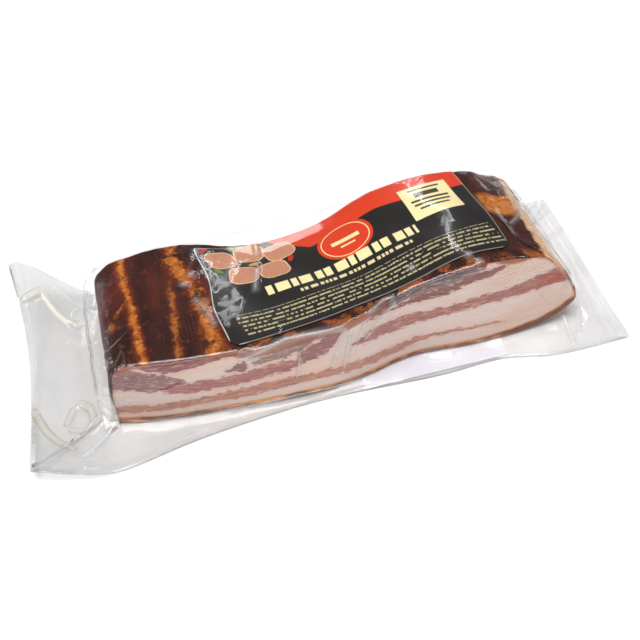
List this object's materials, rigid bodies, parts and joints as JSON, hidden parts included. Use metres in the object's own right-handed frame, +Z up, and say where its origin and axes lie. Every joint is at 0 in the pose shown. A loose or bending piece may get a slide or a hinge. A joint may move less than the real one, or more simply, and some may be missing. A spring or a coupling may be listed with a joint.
{
  "type": "bacon pack",
  "caption": "Slab of smoked bacon under a vacuum-shrunk clear film, with a flat welded flange all round and printed labels above and below.",
  "frame": {"origin": "bottom centre of the bag's bounding box, on the surface that the pack lies on", "axes": "+X along the slab, +Y from its cut face to its back, +Z up from the rind to the smoked side"},
  "size_m": [0.3438, 0.1636, 0.061],
  "materials": {
    "bacon": "smoked meat and fat under wet, shrunk film",
    "bag_film": "clear glossy film",
    "label_print": "glossy printed paper",
    "label_plain": "plain white paper"
  },
  "bodies": {
    "root": {"sealed_bag": "bacon", "front_label": "label_print", "back_label": "label_plain"}
  },
  "joints": []
}
